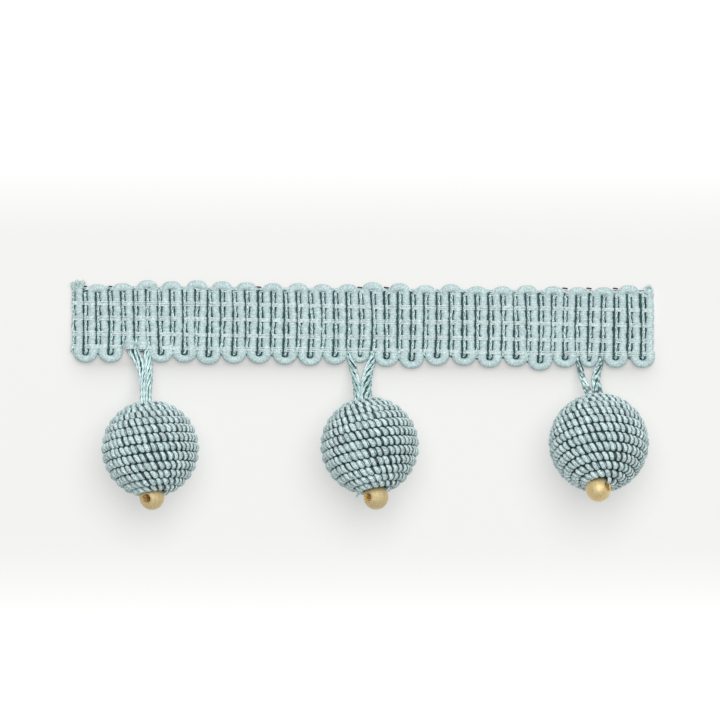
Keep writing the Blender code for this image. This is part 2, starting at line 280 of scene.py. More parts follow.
class HeadingSizes(bpy.types.PropertyGroup):
    """Sizes of the heading's cords and threads."""

    cord_radius: length_setting("Cord radius", "Radius of the gimp cord", 0.78, 0.2)
    wrap_pitch: length_setting("Wrap pitch", "Distance between the fine wraps on the gimp cord", 0.48, 0.1)
    yarn_radius: length_setting(
        "Yarn ply radius", "Radius of one ply of the shiny yarn beside each leg", 0.15, 0.05)
    thread_radius: length_setting("Thread radius", "Radius of the binding threads", 0.155, 0.03)


class BallSizes(bpy.types.PropertyGroup):
    """Sizes of the winding and the beads."""

    wrap_pitch: length_setting("Wrap pitch", "Distance between the wraps of the winding cord", 1.33, 0.5)
    wrap_width: length_setting("Wrap width", "Width of one wrap along the winding cord", 1.03, 0.2)
    wrap_lean: FloatProperty(
        name="Wrap lean", description="How far the wraps lean from square across the cord",
        default=math.radians(20.0), subtype="ANGLE")
    bead_radius: length_setting("Bead radius", "Radius of the brass beads", 2.5, 0.5)
    bead_hole: length_setting("Bead hole radius", "Radius of the hole through each bead", 0.88, 0.1)


class DropperSizes(bpy.types.PropertyGroup):
    """Make of the twisted yarn that the balls hang on."""

    filaments: IntProperty(
        name="Filaments", description="Filaments twisted into each strand", default=3, min=1, max=9)
    filament_radius: length_setting("Filament radius", "Radius of one filament", 0.19, 0.05)
    filament_lay: length_setting(
        "Filament lay", "Distance of a filament's middle from its strand's", 0.13, 0.0)
    turn: length_setting(
        "Length of a turn", "Length in which a filament goes once round its strand", 5.0, 1.0)


class TrimColours(bpy.types.PropertyGroup):
    """Colours of the yarns and the brass."""

    gimp: colour_setting("Gimp", "Crest of the wraps on the gimp cord", (0.60, 0.75, 0.757))
    thread: colour_setting("Binding thread", "Fine thread of the binding rows", (0.64, 0.755, 0.755))
    yarn: colour_setting("Shiny yarn", "Yarn beside the legs and in the droppers", (0.55, 0.715, 0.71))
    # Colour of the dropper yarn on its lit crests, which its material darkens with painted shade and breaks
    # up with painted glints
    painted_lustre: colour_setting("Dropper yarn", "Crest of the yarn that the balls hang on", (0.78, 0.97, 0.965))
    winding: colour_setting("Winding", "Matte wraps round the balls", (0.578, 0.722, 0.728))
    thin_winding: colour_setting("Thin winding", "Fine wraps between the matte ones", (0.4, 0.6, 0.62))
    # Painted shade: the colour that the heading's yarns darken towards, and that of the dark strands and
    # moulds that stand in for shade
    shade: colour_setting("Deep shade", "Yarn deep between the legs", (0.025, 0.067, 0.074))
    # Painted shade deep in the balls' winding, and the dark colour of their cores
    ball_painted_shade: colour_setting("Hollow", "Yarn deep between the wraps of a ball", (0.058, 0.105, 0.112))
    brass: colour_setting("Brass", "Beads", (0.72, 0.575, 0.32))
    table: colour_setting("Table", "Surface that the trim lies on", (0.43, 0.43, 0.42))


SETTINGS = {
    "trim_heading": HeadingSizes,
    "trim_balls": BallSizes,
    "trim_droppers": DropperSizes,
    "trim_colours": TrimColours,
}


def maths_operator(operation, reflected=False):
    """A Python operator between values that adds a Math node."""
    def method(self, other):
        return self.plan.maths(operation, *((other, self) if reflected else (self, other)))
    return method


class Value:
    """An output socket that takes part in Python expressions."""

    __add__, __radd__ = maths_operator("ADD"), maths_operator("ADD", True)
    __sub__, __rsub__ = maths_operator("SUBTRACT"), maths_operator("SUBTRACT", True)
    __mul__, __rmul__ = maths_operator("MULTIPLY"), maths_operator("MULTIPLY", True)
    __truediv__, __rtruediv__ = maths_operator("DIVIDE"), maths_operator("DIVIDE", True)
    __pow__, __mod__ = maths_operator("POWER"), maths_operator("MODULO")
    __gt__, __lt__ = maths_operator("GREATER_THAN"), maths_operator("LESS_THAN")

    def __init__(self, plan, socket):
        self.plan = plan
        self.socket = socket

    def other(self, name):
        """Another output of the same node."""
        return Value(self.plan, find_socket(self.socket.node.outputs, name))

    def sine(self):
        return self.plan.maths("SINE", self)

    def cosine(self):
        return self.plan.maths("COSINE", self)


def find_socket(sockets, key):
    if isinstance(key, int):
        return sockets[key]
    return next(socket for socket in sockets if socket.name == key and socket.enabled)


def socket_names(named):
    """Python's keywords as the names of sockets."""
    return {key.replace("_", " "): value for key, value in named.items()}


class Plan:
    """A node tree to which every node is added in the same way."""

    def __init__(self, tree):
        self.tree = tree
        self.given = {}

    def add(self, kind, settings=None, **named):
        return self.build(kind, settings or {}, socket_names(named))

    def build(self, kind, settings, inputs):
        node = self.tree.nodes.new(kind)
        for key, value in settings.items():
            setattr(node, key, value)
        for key, value in inputs.items():
            self.connect(find_socket(node.inputs, key), value)
        return Value(self, next(socket for socket in node.outputs if socket.enabled))

    def connect(self, socket, value):
        if isinstance(value, Value):
            self.tree.links.new(value.socket, socket)
        else:
            socket.default_value = value

    def maths(self, operation, *values):
        return self.build("ShaderNodeMath", {"operation": operation}, dict(enumerate(values)))

    def vector(self, operation, *values):
        return self.build("ShaderNodeVectorMath", {"operation": operation}, dict(enumerate(values)))

    def scaled(self, vector, number):
        return self.build("ShaderNodeVectorMath", {"operation": "SCALE"}, {0: vector, "Scale": number})

    def joined(self, x=0.0, y=0.0, z=0.0):
        return self.add("ShaderNodeCombineXYZ", X=x, Y=y, Z=z)

    def part(self, vector, axis):
        return self.add("ShaderNodeSeparateXYZ", Vector=vector).other(axis)

    def blend(self, factor, first, second, blend_type="MIX"):
        """Mix two colours, or multiply them."""
        return self.add("ShaderNodeMix", {"data_type": "RGBA", "blend_type": blend_type},
                        Factor=factor, A=first, B=second)

    def ramp(self, value, low, high):
        """Smoothly from 0 at low to 1 at high."""
        return self.add("ShaderNodeMapRange", {"interpolation_type": "SMOOTHSTEP"},
                        Value=value, From_Min=low, From_Max=high)


def rgba(colour, strength=1.0):
    return (*(min(part * strength, 1.0) for part in colour), 1.0)


# Materials

BLACK, WHITE = (0.0, 0.0, 0.0, 1.0), (1.0, 1.0, 0.99, 1.0)
# Painted shade between the plies and wraps of the heading's yarns
SHADE_BETWEEN_PLIES = (0.10, 0.20, 0.205)
# Painted shade down the sides of the dropper strands
DROPPER_SIDE_SHADE = (0.13, 0.3, 0.3)
# Painted shade and painted glints inside the bead holes, mixed by noise
HOLE_PAINTED_SHADE, HOLE_PAINTED_GLINT = (0.35, 0.17, 0.02), (1.0, 0.72, 0.22)
BRASS_GLOSS = (1.0, 0.86, 0.56, 1.0)
OUTER_TABLE = (0.62, 0.62, 0.62)

# Scales of noise on the yarns: patches of wear, flecks and fibres
WORN, FLECKED, FIBROUS = 500.0, 3000.0, 2600.0

# Distances along the trim between which the painted shade is lifted, so that the
# cut ends turn pale
CUT_END = (57.3, 57.9)

# Yarns of the heading: strength of the colour, roughness, the heights at which
# their painted shade is darkest and palest, how strong the painted shade between
# plies is, and the spread of their flecks. The shade filler and the dropper cores
# are dark strands that stand in for shade.
HEADING_FINISH_AND_SHADE = {
    "gimp_wraps": (1.0, 0.88, 0.35, 1.15, 0.22, 0.44),
    "companion_yarn": (1.02, 0.42, 0.45, 1.05, 0.75, 1.0),
    "shade_filler": (1.2, 0.9, 0.2, 0.7, 0.0, 0.44),
    "edge_cord": (0.95, 0.85, 0.3, 1.0, 0.2, 0.44),
    "catch_thread": (1.0, 0.8, 0.3, 0.9, 0.2, 0.44),
    "frayed_yarn": (0.85, 0.6, 0.0, 0.5, 0.1, 0.44),
    "binding_thread": (1.0, 0.75, 0.5, 1.3, 0.3, 0.44),
    "dropper_shade_core": (2.2, 0.8, -0.1, 0.3, 0.0, 0.44),
}

# Yarns of the balls: strength of the colour, roughness, and the depths under the
# ball's surface at which their painted shade is darkest and palest. The core's
# dark colour is painted shade.
WINDING_FINISH_AND_SHADE = {
    "wraps": (1.0, 0.85, 0.85, 0.42),
    "thin": (1.0, 0.4, 0.85, 0.3),
    "core": (1.2, 0.8, 0.85, 0.3),
}

# Contact shadow below the heading: how much it slopes, how fast it fades, its
# depth, and where it ends at the sides and behind the heading
SHADOW_SLOPE, SHADOW_LENGTH, SHADOW_DEPTH = 0.009, 1.87, 0.24
SHADOW_SIDES, SHADOW_TOP = (54.0, 61.0), (6.0, 18.0)

# Middle line of the lit part of the table, and where the table turns paler away
# from it, which is painted light
TABLE_MIDDLE, TABLE_FADE = 1.0, (28.0, 58.0)


def finish_plan(name, roughness, **constants):
    """A new material, its plan, and its shader, to which the plan is connected."""
    material = bpy.data.materials.new(name)
    material.use_nodes = True
    shader = material.node_tree.nodes["Principled BSDF"]
    shader.inputs["Roughness"].default_value = roughness
    for label, value in socket_names(constants).items():
        shader.inputs[label].default_value = value
    return material, Plan(material.node_tree), shader


def object_place(plan):
    return plan.add("ShaderNodeTexCoord").other("Object")


def attribute(plan, name):
    return plan.add("ShaderNodeAttribute", {"attribute_name": name}).other("Fac")


def noise(plan, scale, detail=2.0, place=None):
    return plan.add("ShaderNodeTexNoise", Vector=place or object_place(plan), Scale=scale, Detail=detail)


def ramp_mm(plan, value, span):
    """A ramp between two distances in millimetres."""
    return plan.ramp(value, span[0] * MM, span[1] * MM)


def bump(plan, shader, height, distance, strength):
    surface = plan.add("ShaderNodeBump", Height=height, Distance=distance * MM, Strength=strength)
    plan.connect(shader.inputs["Normal"], surface)


def toned(plan, colour, tone):
    """A colour, darker or paler by a value."""
    return plan.blend(1.0, colour, plan.joined(tone, tone, tone), "MULTIPLY")


def heading_material(name, colour, shade):
    """Yarn with painted shade towards the foot of the heading and between its plies."""
    strength, roughness, darkest, palest, between, spread = HEADING_FINISH_AND_SHADE[name]
    material, plan, shader = finish_plan(name, roughness)
    place = object_place(plan)
    # Painted shade: the yarn darkens towards the table, but not at the cut ends
    cut_end = ramp_mm(plan, plan.maths("ABSOLUTE", plan.part(place, "X")), CUT_END)
    painted_light = plan.maths("MAXIMUM", cut_end, ramp_mm(plan, plan.part(place, "Z"), (darkest, palest)))
    flecks = plan.ramp(noise(plan, FLECKED), 0.3, 0.7) * spread + (1.0 - spread / 2)
    worn = noise(plan, WORN) * 0.24 + 0.88
    full = toned(plan, rgba(colour, strength), flecks * worn)
    # Painted shade between plies and between wraps, where the crest attribute is low
    full = plan.blend((1.0 - attribute(plan, "crest")) * between, full, rgba(SHADE_BETWEEN_PLIES))
    plan.connect(shader.inputs["Base Color"], plan.blend(painted_light, rgba(shade), full))
    bump(plan, shader, noise(plan, FIBROUS, 3.0), 0.05, 0.6)
    return material


def strand_material(name, colour, spread, least):
    """Yarn with painted lustre: pale crests, painted shade in teal down its sides
    and between its strands, and painted glints along each strand.
    """
    material, plan, shader = finish_plan(name, 0.32)
    up = plan.part(plan.add("ShaderNodeNewGeometry").other("Normal"), "Z")
    # Painted glints: dashes of paler and darker colour along each strand
    run = plan.joined(attribute(plan, "run") * 850.0, attribute(plan, "own") * 90.0)
    tone = plan.ramp(noise(plan, 1.0, 1.0, run), 0.35, 0.65) * spread + least
    # Painted shade: teal where the surface faces sideways or down, and deep between strands
    painted_light = plan.ramp(up, 0.15, 0.9) * (attribute(plan, "crest") * 0.8 + 0.2)
    plan.connect(shader.inputs["Base Color"],
                 plan.blend(painted_light, rgba(DROPPER_SIDE_SHADE), toned(plan, rgba(colour), tone)))
    return material


def winding_material(kind, number, ball, colour, shade):
    """Yarn of a ball with painted shade that deepens with its depth under the ball's surface."""
    strength, roughness, darkest, palest = WINDING_FINISH_AND_SHADE[kind]
    material, plan, shader = finish_plan(f"winding_{kind}_{number}", roughness)
    middle, _ = ball_frame(ball)
    away = plan.vector("DISTANCE", object_place(plan), tuple(middle * MM)).other("Value")
    # Painted shade: darker deeper under the ball's surface
    painted_light = ramp_mm(plan, away, (ball[2] - darkest, ball[2] - palest))
    own = attribute(plan, "own_tone") * 0.24 + 0.88
    flecks = plan.ramp(noise(plan, FLECKED), 0.3, 0.7) * 0.66 + 0.65
    # Painted shade at the sides of each wrap, by the edge attribute
    side = 1.0 - plan.ramp(attribute(plan, "edge"), 0.76, 0.97) * 0.8
    full = toned(plan, rgba(colour, strength), own * flecks * side)
    plan.connect(shader.inputs["Base Color"], plan.blend(painted_light, rgba(shade), full))
    ridges = (attribute(plan, "ridge") * 13.6).cosine() * 0.5 + noise(plan, 2400.0, 3.0)
    bump(plan, shader, ridges, 0.06, 0.7)
    return material


def brass_material(name, colour, middle, hole, hole_radius, roughness):
    """Brushed brass, its fine lines running round the hole, with painted shade and
    painted glints inside the hole.
    """
    material, plan, shader = finish_plan(
        name, 0.5, Metallic=0.35, Sheen_Weight=0.75, Sheen_Roughness=0.4, Sheen_Tint=BRASS_GLOSS)
    local = plan.vector("SUBTRACT", object_place(plan), tuple(middle * MM))
    along = plan.vector("DOT_PRODUCT", local, tuple(hole)).other("Value")
    away = plan.vector("DISTANCE", local, plan.scaled(tuple(hole), along)).other("Value")
    lines = noise(plan, 1.0, 4.0, plan.joined(along * 2800.0))
    stain = noise(plan, 3200.0, 3.0)
    brushed = plan.ramp(lines * 0.5 + stain * 0.5, 0.35, 0.65)
    brushed = plan.blend(brushed, rgba(colour, 0.8), rgba(colour, 1.15))
    # Painted shade and painted glints inside the hole
    inside = plan.blend(plan.ramp(stain, 0.4, 0.65), rgba(HOLE_PAINTED_SHADE), rgba(HOLE_PAINTED_GLINT))
    outside = plan.ramp(away, hole_radius * 0.98, hole_radius * 1.06)
    plan.connect(shader.inputs["Base Color"], plan.blend(outside, inside, brushed))
    plan.connect(shader.inputs["Roughness"], lines * 0.2 + roughness)
    bump(plan, shader, lines, 0.03, 0.5)
    return material


# A dark mould whose colour is painted shade, varied by noise
def mould_material(name, shade):
    material, plan, shader = finish_plan(name, 0.9)
    plan.connect(shader.inputs["Base Color"], plan.blend(noise(plan, 800.0), rgba(shade), rgba(shade, 1.6)))
    return material


def table_material(colour):
    """A pale table that glows a little, which softens shadows and lights the trim
    from below, with a painted soft contact shadow below the heading and painted
    light that makes it paler away from its middle.
    """
    material, plan, shader = finish_plan("table_top", 0.9, Emission_Strength=0.45)
    place = object_place(plan)
    across, along = plan.part(place, "X"), plan.part(place, "Y")
    # Painted light: the table is paler away from its middle
    outer = ramp_mm(plan, plan.maths("ABSOLUTE", along - TABLE_MIDDLE * MM), TABLE_FADE)
    below = (along + across * SHADOW_SLOPE - HEADING_FOOT * MM) / (SHADOW_LENGTH * MM)
    shadow = plan.maths("MINIMUM", plan.maths("EXPONENT", below), 1.0)
    beside = ramp_mm(plan, plan.maths("ABSOLUTE", across), SHADOW_SIDES)
    shadow = shadow * (1.0 - beside) * (1.0 - ramp_mm(plan, along, SHADOW_TOP)) * SHADOW_DEPTH
    top = plan.blend(outer, rgba(colour), rgba(OUTER_TABLE))
    plan.connect(shader.inputs["Base Color"], plan.blend(shadow, top, BLACK))
    plan.connect(shader.inputs["Emission Color"], plan.blend(shadow, WHITE, BLACK))
    return material


# Geometry Nodes

INPUT_KINDS = {float: "NodeSocketFloat", int: "NodeSocketInt", tuple: "NodeSocketVector"}


def tree_plan(name, inputs):
    """An empty Geometry Nodes tree with named inputs, and a material last."""
    tree = bpy.data.node_groups.new(name, "GeometryNodeTree")
    tree.is_modifier = True
    tree.interface.new_socket(name="Path", in_out="INPUT", socket_type="NodeSocketGeometry")
    for label, (value, about) in inputs.items():
        socket = tree.interface.new_socket(
            name=label, in_out="INPUT", socket_type=INPUT_KINDS[type(value)], description=about)
        socket.default_value = value
    tree.interface.new_socket(name="Material", in_out="INPUT", socket_type="NodeSocketMaterial")
    tree.interface.new_socket(name="Mesh", in_out="OUTPUT", socket_type="NodeSocketGeometry")
    plan = Plan(tree)
    entry = tree.nodes.new("NodeGroupInput")
    plan.given = {socket.name: Value(plan, socket) for socket in entry.outputs if socket.name}
    return plan


def end_tree(plan, mesh):
    """Realize what was instanced, give it its material and hand it out."""
    mesh = plan.add("GeometryNodeRealizeInstances", Geometry=mesh)
    mesh = plan.add("GeometryNodeSetMaterial", Geometry=mesh, Material=plan.given["Material"])
    leave = plan.tree.nodes.new("NodeGroupOutput")
    plan.connect(leave.inputs["Mesh"], mesh)
    return plan.tree


def keep(plan, geometry, name, value, data_type="FLOAT", domain="POINT"):
    return plan.add("GeometryNodeStoreNamedAttribute", {"data_type": data_type, "domain": domain},
                    Geometry=geometry, Name=name, Value=value)


def stored(plan, name, data_type="FLOAT"):
    return plan.add("GeometryNodeInputNamedAttribute", {"data_type": data_type}, Name=name)


def swept(plan, path, section, scale):
    return plan.add("GeometryNodeCurveToMesh", Curve=path, Profile_Curve=section, Scale=scale, Fill_Caps=True)


def tube(plan, path, sides, radius, scale):
    """Sweep a round section along a path, with both ends filled."""
    section = plan.add("GeometryNodeCurvePrimitiveCircle", Resolution=sides, Radius=radius)
    return swept(plan, path, section, scale)


def resampled(plan, path, length):
    return plan.add("GeometryNodeResampleCurve", {"mode": "LENGTH"}, Curve=path, Length=length)


def wrapped_cord_tree():
    """A cord bound with fine thread: rings of turn-about girth, a wrap apart."""
    plan = tree_plan("Wrapped Cord", {
        "Radius": (0.78 * MM, "Radius of the cord"),
        "Wrap Pitch": (0.38 * MM, "Distance between wraps"),
        "Wrap Depth": (0.045, "Depth of the grooves, as a share of the radius"),
        "Sides": (12, "Sides of the cord"),
    })
    given = plan.given
    path = plan.add("GeometryNodeSetCurveNormal", {"mode": "Z_UP"}, Curve=given["Path"])
    path = resampled(plan, path, given["Wrap Pitch"] / 2)
    # crest: 0 on the rings in the grooves between wraps, where the material paints shade, and a random share
    # on the wraps, which varies their tone
    crest = plan.add("GeometryNodeSplineParameter").other("Index") % 2.0
    path = keep(plan, path, "crest", crest * plan.add("FunctionNodeRandomValue", Min=0.35, Seed=3))
    girth = plan.add("GeometryNodeInputRadius") * (1.0 - (1.0 - crest) * given["Wrap Depth"])
    return end_tree(plan, tube(plan, path, given["Sides"], given["Radius"], girth))


def twisted(plan, path, count, lay, turn):
    """Copies of a path laid round it as a helix, one turn in each given length."""
    copies = plan.add("GeometryNodeDuplicateElements", {"domain": "SPLINE"}, Geometry=path, Amount=count)
    length = plan.add("GeometryNodeSplineParameter").other("Length")
    angle = (length / turn + copies.other("Duplicate Index") / count) * (2 * math.pi)
    up = plan.add("GeometryNodeInputNormal")
    side = plan.vector("CROSS_PRODUCT", plan.add("GeometryNodeInputTangent"), up)
    reach = lay * plan.add("GeometryNodeInputRadius")
    offset = plan.vector("ADD", plan.scaled(up, angle.cosine() * reach),
                         plan.scaled(side, angle.sine() * reach))
    return plan.add("GeometryNodeSetPosition", Geometry=copies, Offset=offset)


def stand_off(plan, middle, reach):
    """From 0 near a middle line to 1 at the given reach from it."""
    line = stored(plan, middle, "FLOAT_VECTOR")
    away = plan.vector("DISTANCE", plan.add("GeometryNodeInputPosition"), line).other("Value")
    return plan.ramp(away / (reach * stored(plan, "girth")), 0.5, 0.84)


def twisted_yarn_tree():
    """Yarn of strands laid together, each of filaments laid together."""
    plan = tree_plan("Twisted Yarn", {
        "Strands": (1, "Strands in the yarn"),
        "Strand Lay": (0.0, "Distance of a strand's middle from the yarn's"),
        "Strand Turn": (2.4 * MM, "Length of a strand's turn, negative for the other way"),
        "Filaments": (1, "Filaments in a strand"),
        "Filament Lay": (0.0, "Distance of a filament's middle from its strand's"),
        "Filament Turn": (2.0 * MM, "Length of a filament's turn"),
        "Filament Radius": (0.19 * MM, "Radius of one filament"),
        "Step": (0.2 * MM, "Distance between sections"),
        "Sides": (6, "Sides of a filament"),
    })
    given = plan.given
    place = plan.add("GeometryNodeInputPosition")
    path = resampled(plan, given["Path"], given["Step"])
    path = keep(plan, path, "yarn_middle", place, "FLOAT_VECTOR")
    path = twisted(plan, path, given["Strands"], given["Strand Lay"], given["Strand Turn"])
    path = keep(plan, path, "strand_middle", place, "FLOAT_VECTOR")
    # run and own place the painted glints along each strand
    path = keep(plan, path, "run", plan.add("GeometryNodeSplineParameter").other("Length"))
    path = keep(plan, path, "own", plan.add("FunctionNodeRandomValue", Seed=5), domain="CURVE")
    path = twisted(plan, path, given["Filaments"], given["Filament Lay"], given["Filament Turn"])
    girth = plan.add("GeometryNodeInputRadius")
    path = keep(plan, path, "girth", girth)
    mesh = tube(plan, path, given["Sides"], given["Filament Radius"], girth)
    strand = given["Filament Lay"] + given["Filament Radius"]
    # crest: 0 deep between strands and filaments to 1 on the yarn's outside; the materials paint shade by it
    outside = stand_off(plan, "yarn_middle", given["Strand Lay"] + strand)
    outside = outside * (stand_off(plan, "strand_middle", strand) * 0.45 + 0.55)
    mesh = keep(plan, mesh, "crest", outside)
    return end_tree(plan, mesh)


def turned(plan, rotation, axis, angle):
    """A rotation turned on about one of its own axes."""
    further = plan.add("FunctionNodeAxisAngleToRotation", Axis=axis, Angle=angle)
    return plan.add("FunctionNodeRotateRotation", {"rotation_space": "LOCAL"},
                    Rotation=rotation, Rotate_By=further)


def cord_wraps_tree():
    """Bent bands set side by side across the winding of a ball."""
    plan = tree_plan("Cord Wraps", {
        "Middle": ((0.0, 0.0, 0.0), "Middle of the ball"),
        "Bead": ((0.0, 0.0, 0.0), "Middle of the bead, where no wrap is laid"),
        "Bead Clearance": (2.6 * MM, "Distance that wraps keep from the bead's middle"),
        "Pitch": (1.27 * MM, "Distance between wraps"),
        "Shift": (0.0, "Distance that all wraps are moved along the cord"),
        "Width": (1.0 * MM, "Width of a wrap along the cord"),
        "Thickness": (0.76 * MM, "Thickness of a wrap"),
        "Girth": (0.71 * MM, "Radius of the cord to the middle of a wrap"),
        "Drift": (0.25 * MM, "How far wraps crowd and spread along the cord"),
        "Lean": (0.26, "Lean of the wraps in radians"),
        "Tilt": (0.15, "How far a wrap's leading edge is raised, in radians"),
        "Unevenness": (0.085, "Spread of lean, size and place"),
        "Share": (1.0, "Share of the wraps that are laid"),
        "Steps": (9, "Sections in a wrap"),
        "Sides": (8, "Sides of a section"),
        "Seed": (1, "Seed of the unevenness"),
    })
    given = plan.given
    path = resampled(plan, given["Path"], given["Pitch"])
    points = plan.add("GeometryNodeCurveToPoints", {"mode": "EVALUATED"}, Curve=path)
    tangent = points.other("Tangent")
    place = plan.add("GeometryNodeInputPosition")
    outward = plan.vector("NORMALIZE", plan.vector("SUBTRACT", place, given["Middle"]))

    def uneven(number):
        seed = given["Seed"] + float(number)
        return plan.add("FunctionNodeRandomValue", Min=-1.0, Max=1.0, Seed=seed) * given["Unevenness"]

    points = keep(plan, points, "own_tone", plan.add("FunctionNodeRandomValue", Seed=given["Seed"]))
    crowd = (noise(plan, 170.0, 0.0, place) - 0.5) * given["Drift"]
    points = plan.add("GeometryNodeSetPosition", Geometry=points,
                      Offset=plan.scaled(tangent, given["Shift"] + crowd + uneven(11) * given["Pitch"]))
    bead_gap = plan.vector("DISTANCE", place, given["Bead"]).other("Value")
    laid = plan.add("FunctionNodeRandomValue", Seed=given["Seed"] + 12.0) < given["Share"]
    allowed = laid * (bead_gap > given["Bead Clearance"])
    facing = plan.add("FunctionNodeAxesToRotation", {"primary_axis": "Z", "secondary_axis": "X"},
                      Primary_Axis=outward, Secondary_Axis=tangent)
    facing = turned(plan, facing, (0.0, 0.0, 1.0), uneven(13))
    facing = turned(plan, facing, (0.0, 1.0, 0.0), 0.0 - given["Tilt"])

    line = plan.add("GeometryNodeCurvePrimitiveLine", End=(0.0, 0.0, 1.0))
    line = plan.add("GeometryNodeResampleCurve", {"mode": "COUNT"}, Curve=line, Count=given["Steps"])
    across = plan.add("GeometryNodeSplineParameter") * 2.0 - 1.0
    angle = across * 1.5
    bent = plan.joined(0.0, angle.sine() * given["Girth"], (angle.cosine() - 1.0) * given["Girth"])
    line = keep(plan, line, "ridge", angle)
    line = plan.add("GeometryNodeSetPosition", Geometry=line, Position=bent)
    line = plan.add("GeometryNodeSetCurveNormal", {"mode": "FREE"}, Curve=line, Normal=(1.0, 0.0, 0.0))
    section = plan.add("GeometryNodeCurvePrimitiveCircle", Resolution=given["Sides"], Radius=0.5)
    # edge: 0 in the middle of a wrap's section to 1 at its sides, where the material paints shade
    section = keep(plan, section, "edge", plan.maths("ABSOLUTE", plan.part(place, "X") * 2.0))
    section = plan.add("GeometryNodeTransform", Geometry=section,
                       Scale=plan.joined(given["Width"], given["Thickness"], 1.0))
    wrap = swept(plan, line, section, (1.0 - (across * 0.95) ** 8.0) ** 0.5)
    slant = stored(plan, "ridge") * given["Girth"] * plan.maths("TANGENT", 0.0 - given["Lean"])
    wrap = plan.add("GeometryNodeSetPosition", Geometry=wrap, Offset=plan.joined(slant))
    size = plan.joined(uneven(14) + 1.0, uneven(15) * 0.5 + 1.0, uneven(16) + 1.0)
    return end_tree(plan, plan.add("GeometryNodeInstanceOnPoints", Points=points, Selection=allowed,
                                   Instance=wrap, Rotation=facing, Scale=size))


def add_object(name, data):
    item = bpy.data.objects.new(name, data)
    bpy.context.scene.collection.objects.link(item)
    return item


def grow(name, strands, tree, material, **values):
    """Run a tree on paths and keep the result as one plain mesh piece."""
    curve = bpy.data.curves.new(name, "CURVE")
    curve.dimensions = "3D"
    for points in strands:
        spline = curve.splines.new("POLY")
        spline.points.add(len(points) - 1)
        for target, (place, girth) in zip(spline.points, points):
            target.co = (*(Vector(place) * MM), 1.0)
            target.radius = girth
    source = add_object(name + "_path", curve)
    modifier = source.modifiers.new(tree.name, "NODES")
    modifier.node_group = tree
    sockets = {item.name: item.identifier for item in tree.interface.items_tree if item.in_out == "INPUT"}
    modifier[sockets["Material"]] = material
    for label, value in socket_names(values).items():
        modifier[sockets[label]] = value
    source.data.update_tag()
    evaluated = source.evaluated_get(bpy.context.evaluated_depsgraph_get())
    mesh = bpy.data.meshes.new_from_object(evaluated)
    if not mesh.polygons:
        raise RuntimeError(f"{name}: the tree {tree.name} made no faces")
    source.modifiers.remove(modifier)
    bpy.data.objects.remove(source)
    bpy.data.curves.remove(curve)
    return place_piece(name, mesh)


def place_piece(name, mesh, sharp_deg=None):
    mesh.name = name
    mesh.shade_smooth()
    if sharp_deg is not None:
        mesh.set_sharp_from_angle(angle=math.radians(sharp_deg))
    piece = add_object(name, mesh)
    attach(piece, BODY)
    return piece


def plain_mesh(name, bm, material):
    """A mesh in metres from one made in millimetres."""
    bmesh.ops.scale(bm, vec=(MM, MM, MM), verts=bm.verts)
    mesh = bpy.data.meshes.new(name)
    bm.to_mesh(mesh)
    bm.free()
    mesh.materials.append(material)
    return mesh


def mesh_piece(name, bm, material, sharp_deg=None):
    bmesh.ops.remove_doubles(bm, verts=bm.verts, dist=0.0001)
    bm.normal_update()
    bmesh.ops.recalc_face_normals(bm, faces=bm.faces)
    return place_piece(name, plain_mesh(name, bm, material), sharp_deg)


# Paths

def smooth_path(knots, spacing=0.15):
    """A smooth curve through knots, given as points at about one spacing."""
    knots = [Vector(knot) for knot in knots]
    path = []
    last = len(knots) - 1
    for i in range(last):
        before, here = knots[max(i - 1, 0)], knots[i]
        ahead, beyond = knots[i + 1], knots[min(i + 2, last)]
        steps = max(2, round((ahead - here).length / spacing))
        for k in range(steps):
            t = k / steps
            slope_here, slope_ahead = (ahead - before) / 2, (beyond - here) / 2
            path.append(here * (2 * t**3 - 3 * t**2 + 1) + slope_here * (t**3 - 2 * t**2 + t)
                        + ahead * (3 * t**2 - 2 * t**3) + slope_ahead * (t**3 - t**2))
    path.append(knots[-1])
    return path


def evenly(points, girth=1.0):
    return [(point, girth) for point in points]


def thread(knots, spacing=0.15, girth=1.0):
    return evenly(smooth_path(knots, spacing), girth)


class Leg:
    """One upright leg of the heading, from its upper to its lower end."""

    def __init__(self, top, foot, middle_x, flare, swell):
        self.top = top
        self.swell = swell
        self.foot_x = foot[0]
        self.flare = flare
        self.bottom = (foot[0] + flare, foot[1])
        self.bow = middle_x - (top[0] + foot[0]) / 2

    def x_at(self, y):
        """The leg's place across the heading at a height up its face."""
        share = min(max((self.top[1] - y) / (self.top[1] - self.bottom[1]), 0.0), 1.0)
        straight = self.top[0] + (self.foot_x - self.top[0]) * share
        wander = sum(size * math.sin(rise * y + step * self.foot_x) for size, rise, step in LEG_WAVES)
        bowed = (self.bow + wander) * math.sin(math.pi * share) ** 1.2
        return straight + bowed + self.flare * self.footing(y)

    def footing(self, y):
        """From 0 up the leg to 1 where it meets the lower loop."""
        low = min(max((self.bottom[1] + FLARE_HEIGHT - y) / FLARE_HEIGHT, 0.0), 1.0)
        return low * low * (3 - 2 * low)


def heading_legs():
    legs = []
    top_left = (LOOPS[0][0] - LOOP_RADIUS, TOP_ENDS[0])
    for index, (low_x, low_y, left_x, right_x, high_x, high_y) in enumerate(LOOPS):
        low = low_y + (SQUARE_REACH if index == SQUARE_LOOP else LOW_REACH)
        flare, swell = OTHER_FEET.get(index, LOOP_FOOT)
        legs.append(Leg(top_left, (low_x - LOOP_RADIUS, low), left_x, -flare, swell))
        if high_x is None:
            top_right = (low_x + LOOP_RADIUS, TOP_ENDS[1])
        else:
            high = high_y - HIGH_REACH
            top_right = (high_x - LOOP_RADIUS, high)
            top_left = (high_x + LOOP_RADIUS, high)
        legs.append(Leg(top_right, (low_x + LOOP_RADIUS, low), right_x, flare, swell))
    return legs


def row_y(row, x):
    return ROW_Y[row] + ROW_DROP * x


